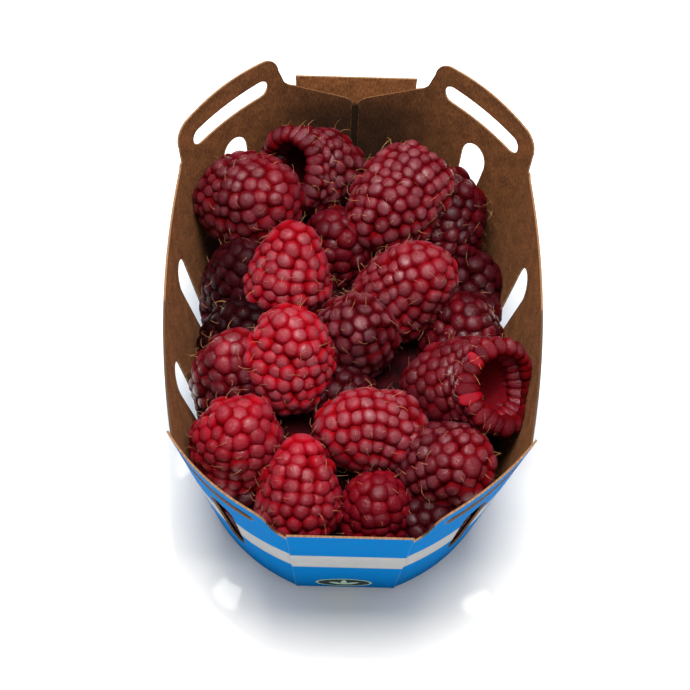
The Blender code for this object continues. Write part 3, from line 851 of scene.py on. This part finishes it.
def bead_places(length, width, cone, pitch, hollow, rng):
    """A berry's drupelets, ring after ring: (place, outward direction, size across, size down, height)."""
    inset = 1.6 * DOME_HEIGHT * pitch
    path = berry_path(length - inset, width - inset, cone, hollow)
    beads = [(Vector((0, 0, path[0][1])), Vector((0, 0, 1)), 1.2 * pitch, pitch, 1.0)]
    distance, start = 1.05 * pitch, rng.uniform(0, 6)
    while distance < path[-1][2]:
        r, z, n = along(path, distance)
        local = pitch * (0.93 + 0.30 * max(0.0, z / length + 0.05))
        count = max(5, round(2 * math.pi * r / local))
        start += math.pi / count + rng.uniform(-0.1, 0.1)
        for i in range(count):
            a = start + 2 * math.pi * (i + rng.uniform(-0.13, 0.13)) / count
            out = Vector((n.x * math.cos(a), n.x * math.sin(a), n.y))
            at = Vector((r * math.cos(a), r * math.sin(a), z + rng.uniform(-0.12, 0.12) * local))
            at += out * rng.uniform(-0.45, 0.25)
            out = (out + Vector([rng.uniform(-0.14, 0.14) for _ in range(3)])).normalized()
            beads.append((at, out, 2 * math.pi * r / count, ROW_PITCH * local, 1.0))
        distance += ROW_PITCH * local
    if hollow:
        rim_r, rim_z = path[-1][0], path[-1][1]
        count = round(2 * math.pi * rim_r / (RIB_PITCH * pitch))
        for inward, up, tilt, stretch, height in CUP_RINGS:
            for i in range(count):
                a = start + 2 * math.pi * (i + rng.uniform(-0.1, 0.1)) / count
                out = Vector((math.cos(a) * math.cos(tilt), math.sin(a) * math.cos(tilt), -math.sin(tilt)))
                at = Vector(((rim_r - inward) * math.cos(a), (rim_r - inward) * math.sin(a), rim_z + up))
                across = 2 * math.pi * (rim_r - inward) / count
                beads.append((at, out, across, stretch * ROW_PITCH * pitch, height))
    return path, beads


def berry_body(bm, path, hollow, tone):
    """Dark body under the drupelets: the berry's side spun round, with the stalk's cup in a hollow one."""
    side = [(0.0, path[0][1] * BODY_SHARE)] + [(r * BODY_SHARE, z * BODY_SHARE) for r, z, _ in path[4::6]]
    if hollow:
        rim_r, rim_z = path[-1][0], path[-1][1]
        side += [(rim_r - inward, rim_z + up) for inward, up in CUP_LINE]
        side.append((0.0, rim_z + CUP_END))
    else:
        side.append((0.0, side[-1][1]))
    line = [bm.verts.new((r, 0.0, z)) for r, z in side]
    edges = [bm.edges.new(pair) for pair in zip(line, line[1:])]
    bmesh.ops.spin(bm, geom=line + edges, cent=(0, 0, 0), axis=(0, 0, 1), angle=2 * math.pi,
                   steps=16, use_merge=True)
    bmesh.ops.remove_doubles(bm, verts=bm.verts[:], dist=1e-4)
    bmesh.ops.recalc_face_normals(bm, faces=bm.faces[:])
    look = bm.verts.layers.float_color["look"]
    for v in bm.verts:
        v[look] = (tone, 0.5 if hollow else 0.0, 0.0, 0.0)


def berry_mesh(key, spec, pitch, facets, hollow):
    """Builds one berry in place; returns its mesh and where hairs can grow, as (point, direction)."""
    centre, tip, length, width, ripeness_and_shade, tip_glow, cone, dust_and_sheen = spec[:8]
    opening, slant = spec[8:] if hollow else (None, 0.0)
    rng = random.Random("berry " + key)
    dome = DOME_HEIGHT * pitch
    bm = bmesh.new()
    bm.verts.layers.float_color.new("look")
    path, beads = bead_places(length, width, cone, pitch, hollow, rng)
    berry_body(bm, path, hollow, ripeness_and_shade + RIM_GLOW[key][1] if hollow else 0.6 * ripeness_and_shade)
    turn = Vector((0, 0, 1)).rotation_difference(Vector(tip).normalized()).to_matrix().to_4x4()
    place = Matrix.Translation(Vector(centre)) @ turn @ Matrix.Rotation(rng.uniform(0, 2 * math.pi), 4, "Z")
    open_side = (place.to_3x3().inverted() @ Vector(opening)).xy.normalized() if hollow else None
    scratch = bpy.data.meshes.new("berry")
    hairs = []
    for at, out, across, down, height in beads:
        size = rng.uniform(0.88, 1.14)
        near_tip = max(0.0, at.z / length + 0.15)
        glow = tip_glow * min(1.0, 3.0 * near_tip * near_tip) * rng.uniform(0.4, 1.4)
        tone = min(1.0, ripeness_and_shade + glow + rng.uniform(-0.10, 0.10))
        in_cup = height < CUP_RIB
        if in_cup:
            tone += RIM_GLOW[key][1]
        elif height < 1.0:
            facing = max(0.0, at.xy.normalized().dot(open_side))
            tone += RIM_GLOW[key][0] * facing * rng.choice((0.0, 0.4, 1.8))
        sizes = (BEAD_SPREAD * across * size, BEAD_SPREAD * down / ROW_PITCH * size, dome * height * size)
        add_bead(bm, scratch, at, out, sizes, facets, (tone, rng.random(), 0.0 if in_cup else dust_and_sheen))
        if height == 1.0:
            hairs.append((place @ (at + out * dome * size * 0.9), (place.to_3x3() @ out).normalized()))
    if hollow:
        slant_mouth(bm, open_side, slant, length, width)
    bmesh.ops.transform(bm, matrix=place, verts=bm.verts[:])
    bm.to_mesh(scratch)
    bm.free()
    return scratch, hairs


def slant_mouth(bm, way, slant, length, width):
    """Cuts a hollow berry's mouth off at a slant, so that its cup opens towards a side."""
    for v in bm.verts:
        share = max(0.0, -v.co.z / length * 2) ** 1.5
        v.co.z += slant * share * max(0.0, v.co.xy.dot(way) + 0.2 * width)


def room_tree(board):
    """Search tree of the walls' inner faces and the base, to keep the berries inside them."""
    bm = bmesh.new()
    thick = board.thickness / MM
    for side in (-1, 1):
        grid = bmesh.ops.create_grid(bm, x_segments=64, y_segments=4, size=0.5)
        for v in grid["verts"]:
            s = L_GLUE * 0.1 + (v.co.x + 0.5) * (STRIP_LENGTH - L_GLUE * 0.2)
            v.co = wall_point(side, s, -SLANT + (v.co.y + 0.5) * SLANT * 1.02, thick)
        if side > 0:
            bmesh.ops.reverse_faces(bm, faces=list({f for v in grid["verts"] for f in v.link_faces}))
    bmesh.ops.triangulate(bm, faces=bm.faces[:])
    tree = BVHTree.FromBMesh(bm)
    bm.free()
    return tree


def nearest_wall(point, tree):
    """Nearest point of the walls and the way from there into the carton, or nothing away from them."""
    found, normal, _, _ = tree.find_nearest(point, SEARCH)
    if found is None:
        return None, None
    inward = normal if normal.dot(Vector((-found.x, -found.y, 0.0))) > 0 else -normal
    return found, inward


def depth_inside(point, tree):
    """How far a point lies inside the walls (mm), less than zero outside them, large away from them."""
    found, inward = nearest_wall(point, tree)
    return SEARCH if found is None else (point - found).dot(inward)


def keep_inside(verts, tree, clearance, floor=1.1):
    """Presses points flat against the board where they would pass through it."""
    for v in verts:
        found, inward = nearest_wall(v.co, tree)
        v.co.z = max(v.co.z, floor)
        if found is not None and v.co.z <= RIM_Z + 3.0:
            v.co += inward * max(0.0, clearance - (v.co - found).dot(inward))


def berry_piece(name, specs, facets, hollow=False):
    """One piece with several berries. Returns it with the places where hairs can grow."""
    scene = bpy.context.scene
    pitch = scene.punnet_fruit.pitch / MM
    bm = bmesh.new()
    hairs = []
    for key, spec in specs.items():
        mesh, roots = berry_mesh(key, spec, pitch, facets, hollow)
        bm.from_mesh(mesh)
        bpy.data.meshes.remove(mesh)
        hairs += roots
    noise.seed_set(NOISE_SEED)
    for v in bm.verts:
        v.co += noise.noise_vector(v.co * WAVE) * WAVE_REACH
    keep_inside(bm.verts, room_tree(scene.punnet_board), BERRY_ROOM)
    bmesh.ops.scale(bm, vec=(MM, MM, MM), verts=bm.verts[:])
    obj = new_piece(name, bm, [flesh_material()], 180.0)
    finish_piece(obj, "raspberries")
    return obj, hairs


def hair_points(root, normal, rng):
    """Points (mm) along a hair that leaves a drupelet and curls as it goes."""
    side = normal.orthogonal().normalized()
    side.rotate(Matrix.Rotation(rng.uniform(0, 2 * math.pi), 3, normal))
    length, curl = rng.uniform(1.0, 3.8), rng.uniform(0.1, 1.6)
    point, heading = root.copy(), (normal + side * rng.uniform(0.3, 1.6)).normalized()
    swirl = Matrix.Rotation(curl / HAIR_STEPS, 3, normal.cross(side).normalized())
    twist = Matrix.Rotation(rng.uniform(-0.35, 0.35), 3, normal)
    points = []
    for _ in range(HAIR_STEPS + 1):
        points.append(point.copy())
        point += heading * length / HAIR_STEPS
        heading = twist @ (swirl @ heading)
    return points


# Where hairs can grow, noted by the operators that build the berries: (point, direction)
HAIR_ROOTS = []


class PUNNET_OT_board(bpy.types.Operator):
    """Build the folded carton: two walls with handle flaps, the base and its end panels"""

    bl_idname = "punnet.board"
    bl_label = "Board carton"

    def execute(self, context):
        board = context.scene.punnet_board
        for obj in (wall_piece(-1, board), wall_piece(1, board), tray_piece(board)):
            finish_piece(obj, "carton")
        return {"FINISHED"}


class PUNNET_OT_core(bpy.types.Operator):
    """Build the mass of fruit under the berries that show, near-black as painted shade"""

    bl_idname = "punnet.core"
    bl_label = "Core of the heap"

    def execute(self, context):
        thick = context.scene.punnet_board.thickness / MM
        bm = bmesh.new()
        d = -SLANT + 2.0
        loop = []
        # the base's outline, drawn in a little, then carried up in three steps
        for side, order in ((1, range(0, 25)), (-1, range(24, -1, -1))):
            for i in order:
                s = L_GLUE + (STRIP_LENGTH - 2 * L_GLUE) * i / 24
                p = wall_point(side, s, d, thick)
                loop.append(bm.verts.new((p.x * 0.93, p.y * 0.95, 1.2)))
        face = bm.faces.new(loop)
        for lift, grow in ((12.0, 1.04), (8.0, 0.97), (5.0, 0.84)):
            made = bmesh.ops.extrude_face_region(bm, geom=[face])
            verts = [g for g in made["geom"] if isinstance(g, bmesh.types.BMVert)]
            face = next(g for g in made["geom"] if isinstance(g, bmesh.types.BMFace))
            bmesh.ops.translate(bm, vec=(0, 0, lift), verts=verts)
            bmesh.ops.scale(bm, vec=(grow, grow, 1), verts=verts)
        bmesh.ops.recalc_face_normals(bm, faces=bm.faces[:])
        bmesh.ops.triangulate(bm, faces=[f for f in bm.faces if len(f.verts) > 4])
        bmesh.ops.subdivide_edges(bm, edges=bm.edges[:], cuts=2, use_grid_fill=True)
        noise.seed_set(NOISE_SEED)
        for v in bm.verts:
            if v.co.z > 4.0:
                v.co += noise.noise_vector(v.co * 0.16) * 2.0
        bmesh.ops.scale(bm, vec=(MM, MM, MM), verts=bm.verts[:])
        obj = new_piece("fruit_core", bm, [shade_material()], 180.0)
        finish_piece(obj, "raspberries")
        return {"FINISHED"}


class PUNNET_OT_berries(bpy.types.Operator):
    """Build the berries on top of the heap"""

    bl_idname = "punnet.berries"
    bl_label = "Top berries"

    def execute(self, context):
        for name, is_kind in (("raspberries_red", lambda spec: spec[4] >= 0.4),
                              ("raspberries_dark", lambda spec: spec[4] < 0.4)):
            kind = {key: spec for key, spec in BERRIES.items() if is_kind(spec)}
            _, hairs = berry_piece(name, kind, (10, 6))
            HAIR_ROOTS.extend(hairs)
        return {"FINISHED"}


class PUNNET_OT_hollow(bpy.types.Operator):
    """Build the berries that lie with their empty cup showing"""

    bl_idname = "punnet.hollow"
    bl_label = "Hollow berries"

    def execute(self, context):
        _, hairs = berry_piece("raspberries_hollow", HOLLOW, (10, 7), hollow=True)
        HAIR_ROOTS.extend(hairs)
        return {"FINISHED"}


class PUNNET_OT_low(bpy.types.Operator):
    """Build the berries of the layer below, which show through gaps and windows"""

    bl_idname = "punnet.low"
    bl_label = "Lower berries"

    def execute(self, context):
        specs = {key: (*place, *LOW_SHAPE) for key, place in LOW.items()}
        berry_piece("raspberries_low", specs, (7, 5))
        return {"FINISHED"}


class PUNNET_OT_hairs(bpy.types.Operator):
    """Grow the dried golden hairs on the top berries"""

    bl_idname = "punnet.hairs"
    bl_label = "Hairs"

    def execute(self, context):
        fruit = context.scene.punnet_fruit
        rng = random.Random("hairs")
        room = room_tree(context.scene.punnet_board)
        curve = bpy.data.curves.new("hair_lines", "CURVE")
        curve.dimensions = "3D"
        curve.bevel_depth = HAIR_RADIUS * MM
        curve.bevel_resolution = 0
        for root, normal in HAIR_ROOTS:
            if rng.random() > fruit.hair_share:
                continue
            points = hair_points(root, normal, rng)
            if min(depth_inside(p, room) for p in points) < HAIR_ROOM:
                continue
            spline = curve.splines.new("POLY")
            spline.points.add(HAIR_STEPS)
            for i, (knot, p) in enumerate(zip(spline.points, points)):
                knot.co = (*(p * MM), 1.0)
                knot.radius = 1.0 - 0.12 * i
        line = bpy.data.objects.new("hair_lines", curve)
        context.scene.collection.objects.link(line)
        graph = context.evaluated_depsgraph_get()
        mesh = bpy.data.meshes.new_from_object(line.evaluated_get(graph))
        bpy.data.objects.remove(line)
        bm = bmesh.new()
        bm.from_mesh(mesh)
        obj = new_piece("raspberry_hairs", bm, [hair_material()], 180.0)
        finish_piece(obj, "raspberries")
        return {"FINISHED"}


class PUNNET_OT_badge(bpy.types.Operator):
    """Lay a plain leaf mark low on the near end panel"""

    bl_idname = "punnet.badge"
    bl_label = "Leaf mark"

    def execute(self, context):
        slope = math.atan2(END_Y_TOP - END_Y_BASE, END_Z)
        middle_up = 5.2
        bm = bmesh.new()
        # a pale oval with a dark one on it, then three leaves: lift, half width, half height, material
        for lift, rx, ry, index in ((0.03, 6.6, 3.5, 1), (0.05, 6.1, 3.0, 0)):
            disc = bmesh.ops.create_circle(bm, cap_ends=True, segments=40, radius=1.0)
            bmesh.ops.scale(bm, vec=(rx, ry, 1), verts=disc["verts"])
            bmesh.ops.translate(bm, vec=(0, 0, lift), verts=disc["verts"])
            for f in {f for v in disc["verts"] for f in v.link_faces}:
                f.material_index = index
        for turn in (-0.55, 0.0, 0.55):
            leaf = bmesh.ops.create_circle(bm, cap_ends=True, segments=16, radius=1.0)
            for v in leaf["verts"]:
                along_leaf = v.co.x
                v.co.x = 2.1 * along_leaf + 2.0
                v.co.y = 0.75 * v.co.y * (1 - 0.5 * along_leaf * along_leaf)
            spin = Matrix.Rotation(math.pi / 2 + 1.9 * turn, 4, "Z")
            bmesh.ops.transform(bm, matrix=Matrix.Translation((0, -1.6, 0.07)) @ spin, verts=leaf["verts"])
            for f in {f for v in leaf["verts"] for f in v.link_faces}:
                f.material_index = 1
        bmesh.ops.recalc_face_normals(bm, faces=bm.faces[:])
        for f in bm.faces:
            if f.normal.z < 0:
                f.normal_flip()
        upright = Matrix.Rotation(math.pi / 2 + slope, 4, "X")
        foot = Vector((-0.4, -END_Y_BASE, 0.0)) + Vector((0, -math.sin(slope), math.cos(slope))) * middle_up
        bmesh.ops.transform(bm, matrix=Matrix.Translation(foot) @ upright, verts=bm.verts[:])
        bmesh.ops.scale(bm, vec=(MM, MM, MM), verts=bm.verts[:])
        obj = new_piece("end_mark", bm, mark_materials())
        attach(obj, "root")
        return {"FINISHED"}


class PUNNET_OT_stage(bpy.types.Operator):
    """Set the pale floor, the soft lights and the camera"""

    bl_idname = "punnet.stage"
    bl_label = "Floor, light and camera"

    def execute(self, context):
        scene, stage = context.scene, context.scene.punnet_stage
        bm = bmesh.new()
        bmesh.ops.create_grid(bm, x_segments=2, y_segments=2, size=3.0)
        mat, _, shader = new_material("pale_floor", 0.9)
        shader.inputs["Base Color"].default_value = stage.floor
        floor = new_piece("floor", bm, [mat])
        world = scene.world or bpy.data.worlds.new("World")
        scene.world = world
        world.use_nodes = True
        back = world.node_tree.nodes["Background"]
        back.inputs["Color"].default_value = (1.0, 1.0, 1.0, 1.0)
        back.inputs["Strength"].default_value = stage.fill
        # name, place, size and power of each light
        lights = (("key", (0.0, 0.15, 1.25), 0.85, 1.22 * stage.key),
                  ("front", (0.10, -0.7, 1.0), 0.8, 0.06 * stage.key),
                  ("spark", (-0.06, 0.10, 1.25), 0.05, 0.17 * stage.key))
        for name, at, size, power in lights:
            data = bpy.data.lights.new(name, "AREA")
            data.size, data.energy = size, power
            lamp = bpy.data.objects.new(name, data)
            lamp.location = at
            lamp.rotation_euler = (Vector((0, 0, 0.03)) - Vector(at)).to_track_quat("-Z", "Y").to_euler()
            scene.collection.objects.link(lamp)
        scene.view_settings.view_transform = "Standard"
        scene.camera = fitted_camera(scene)
        return {"FINISHED"}


def fitted_camera(scene):
    """Camera at the photograph's place, turned so that its picture lines up with the photograph."""
    e, yaw, roll = (math.radians(a) for a in (CAM_ELEVATION, CAM_YAW, CAM_ROLL))
    turn = Matrix.Rotation(yaw, 3, "Z")
    back = turn @ Vector((0, -math.cos(e), math.sin(e)))
    right = turn @ Vector((1, 0, 0))
    up = turn @ Vector((0, math.sin(e), math.cos(e)))
    across = right * math.cos(roll) + up * math.sin(roll)
    upward = up * math.cos(roll) - right * math.sin(roll)
    middle = FRAME_PX / 2
    ahead = (-back + across * ((middle - CAM_AXIS_PX[0]) / CAM_FOCAL_PX)
             + upward * ((CAM_AXIS_PX[1] - middle) / CAM_FOCAL_PX)).normalized()
    upward = (upward - ahead * upward.dot(ahead)).normalized()
    across = ahead.cross(upward)
    data = bpy.data.cameras.new("camera")
    data.sensor_width = 36.0
    data.lens = CAM_FOCAL_PX * data.sensor_width / FRAME_PX
    cam = bpy.data.objects.new("camera", data)
    place = Matrix((across, upward, -ahead)).transposed().to_4x4()
    place.translation = (Vector((0, 0, CAM_AIM_Z)) + back * CAM_DISTANCE) * MM
    cam.matrix_world = place
    scene.collection.objects.link(cam)
    return cam


class PUNNET_PT_panel(bpy.types.Panel):
    """Lists the punnet's operators and settings"""

    bl_label = "Raspberry punnet"
    bl_idname = "PUNNET_PT_panel"
    bl_space_type = "VIEW_3D"
    bl_region_type = "UI"
    bl_category = "Punnet"

    def draw(self, context):
        layout = self.layout
        for group in (context.scene.punnet_board, context.scene.punnet_fruit, context.scene.punnet_stage):
            box = layout.box()
            for name in group.__annotations__:
                box.prop(group, name)
        for operator in OPERATORS:
            layout.operator(operator.bl_idname)


OPERATORS = (PUNNET_OT_board, PUNNET_OT_badge, PUNNET_OT_core, PUNNET_OT_low, PUNNET_OT_berries,
             PUNNET_OT_hollow, PUNNET_OT_hairs, PUNNET_OT_stage)
GROUPS = (("punnet_board", PunnetBoard), ("punnet_fruit", PunnetFruit), ("punnet_stage", PunnetStage))


def register():
    """Makes the settings and operators known to Blender."""
    for name, group in GROUPS:
        bpy.utils.register_class(group)
        setattr(bpy.types.Scene, name, bpy.props.PointerProperty(type=group))
    for cls in (*OPERATORS, PUNNET_PT_panel):
        bpy.utils.register_class(cls)


def unregister():
    """Takes them out again."""
    for cls in reversed((*OPERATORS, PUNNET_PT_panel)):
        bpy.utils.unregister_class(cls)
    for name, group in reversed(GROUPS):
        delattr(bpy.types.Scene, name)
        bpy.utils.unregister_class(group)


def main():
    """Builds every piece and the stage."""
    register()
    bpy.ops.punnet.board()
    bpy.ops.punnet.badge()
    bpy.ops.punnet.core()
    bpy.ops.punnet.low()
    bpy.ops.punnet.berries()
    bpy.ops.punnet.hollow()
    bpy.ops.punnet.hairs()
    bpy.ops.punnet.stage()


if __name__ == "__main__":
    main()
